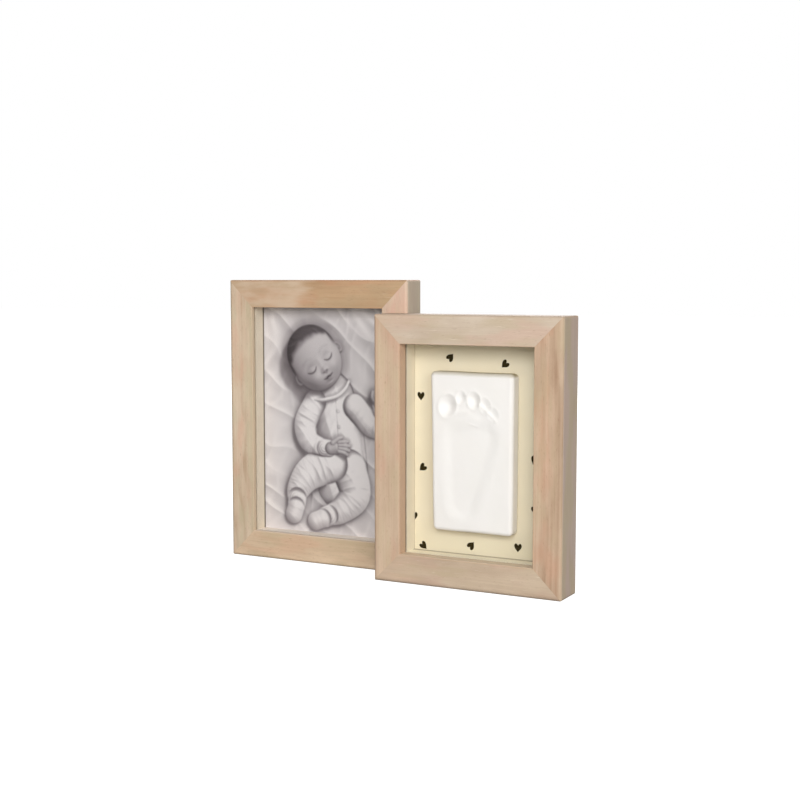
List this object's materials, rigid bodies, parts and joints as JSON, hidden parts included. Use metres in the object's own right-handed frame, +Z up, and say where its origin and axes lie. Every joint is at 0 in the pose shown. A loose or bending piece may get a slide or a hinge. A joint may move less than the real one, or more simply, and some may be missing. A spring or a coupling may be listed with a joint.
{
  "type": "baby footprint and photo frame pair",
  "caption": "Glazed wooden photo frame with a deeper frame held to its front edge, showing a clay baby footprint on a heart-printed card.",
  "frame": {"origin": "on the surface that both frames stand on, at the middle of the pair's bounding box", "axes": "+X to the viewer's right along the frames' fronts, +Y away from the viewer, +Z up"},
  "size_m": [0.24, 0.0456, 0.18],
  "materials": {
    "pale_wood": "matt, oiled pale wood with fine grain along each member",
    "nail_steel": "plain steel",
    "clear_pane": "clear, polished",
    "fibreboard": "brown pressed board, matt",
    "grey_board": "uncoated",
    "grey_beige_strip": "matt, painted",
    "cream_strip": "matt",
    "photo_paper": "satin greyscale print",
    "cream_card": "matt card printed with small dark hearts",
    "white_clay": "matt, air dried",
    "foam_pad": "foam tape",
    "button_steel": "brassed steel, satin",
    "screw_steel": "brassed steel, satin",
    "magnet_nickel": "nickel plated"
  },
  "bodies": {
    "photo_frame": {"photo_frame_top_rail": "pale_wood", "photo_frame_bottom_rail": "pale_wood", "photo_frame_left_stile": "pale_wood", "photo_frame_right_stile": "pale_wood", "photo_frame_corner_nails": "nail_steel", "photo_frame_pane": "clear_pane", "photo_frame_top_spacer": "grey_beige_strip", "photo_frame_bottom_spacer": "grey_beige_strip", "photo_frame_left_spacer": "grey_beige_strip", "photo_frame_right_spacer": "grey_beige_strip", "photo_frame_backing_board": "fibreboard", "photo_frame_button_screws": "screw_steel", "photo_frame_magnets": "magnet_nickel", "photo_print": "photo_paper", "filler_board": "grey_board"},
    "print_frame": {"print_frame_top_rail": "pale_wood", "print_frame_bottom_rail": "pale_wood", "print_frame_left_stile": "pale_wood", "print_frame_right_stile": "pale_wood", "print_frame_corner_nails": "nail_steel", "print_frame_pane": "clear_pane", "print_frame_top_spacer": "cream_strip", "print_frame_bottom_spacer": "cream_strip", "print_frame_left_spacer": "cream_strip", "print_frame_right_spacer": "cream_strip", "print_frame_backing_board": "fibreboard", "print_frame_button_screws": "screw_steel", "print_frame_magnets": "magnet_nickel", "heart_card": "cream_card", "adhesive_pads": "foam_pad", "clay_print": "white_clay"},
    "photo_frame_upper_left_button": {"photo_frame_upper_left_button": "button_steel"},
    "photo_frame_upper_right_button": {"photo_frame_upper_right_button": "button_steel"},
    "photo_frame_lower_left_button": {"photo_frame_lower_left_button": "button_steel"},
    "photo_frame_lower_right_button": {"photo_frame_lower_right_button": "button_steel"},
    "print_frame_upper_left_button": {"print_frame_upper_left_button": "button_steel"},
    "print_frame_upper_right_button": {"print_frame_upper_right_button": "button_steel"},
    "print_frame_lower_left_button": {"print_frame_lower_left_button": "button_steel"},
    "print_frame_lower_right_button": {"print_frame_lower_right_button": "button_steel"}
  },
  "joints": [
    {"name": "print_frame_pull_off", "type": "slide", "parent": "photo_frame", "child": "print_frame", "axis": [0, -1, 0], "range_m": [0, 0.04]},
    {"name": "photo_frame_upper_left_turn", "type": "hinge", "parent": "photo_frame", "child": "photo_frame_upper_left_button", "pos_m": [-0.0875, 0.0208, 0.172], "axis": [0, 1, 0], "range_deg": [-90, 90]},
    {"name": "photo_frame_upper_right_turn", "type": "hinge", "parent": "photo_frame", "child": "photo_frame_upper_right_button", "pos_m": [-0.0225, 0.0208, 0.172], "axis": [0, 1, 0], "range_deg": [-90, 90]},
    {"name": "photo_frame_lower_left_turn", "type": "hinge", "parent": "photo_frame", "child": "photo_frame_lower_left_button", "pos_m": [-0.0875, 0.0208, 0.008], "axis": [0, 1, 0], "range_deg": [-90, 90]},
    {"name": "photo_frame_lower_right_turn", "type": "hinge", "parent": "photo_frame", "child": "photo_frame_lower_right_button", "pos_m": [-0.0225, 0.0208, 0.008], "axis": [0, 1, 0], "range_deg": [-90, 90]},
    {"name": "print_frame_upper_left_turn", "type": "hinge", "parent": "print_frame", "child": "print_frame_upper_left_button", "pos_m": [0.03, 0.0018, 0.152], "axis": [0, 1, 0], "range_deg": [-90, 90]},
    {"name": "print_frame_upper_right_turn", "type": "hinge", "parent": "print_frame", "child": "print_frame_upper_right_button", "pos_m": [0.09, 0.0018, 0.152], "axis": [0, 1, 0], "range_deg": [-90, 90]},
    {"name": "print_frame_lower_left_turn", "type": "hinge", "parent": "print_frame", "child": "print_frame_lower_left_button", "pos_m": [0.03, 0.0018, 0.008], "axis": [0, 1, 0], "range_deg": [-90, 90]},
    {"name": "print_frame_lower_right_turn", "type": "hinge", "parent": "print_frame", "child": "print_frame_lower_right_button", "pos_m": [0.09, 0.0018, 0.008], "axis": [0, 1, 0], "range_deg": [-90, 90]}
  ]
}
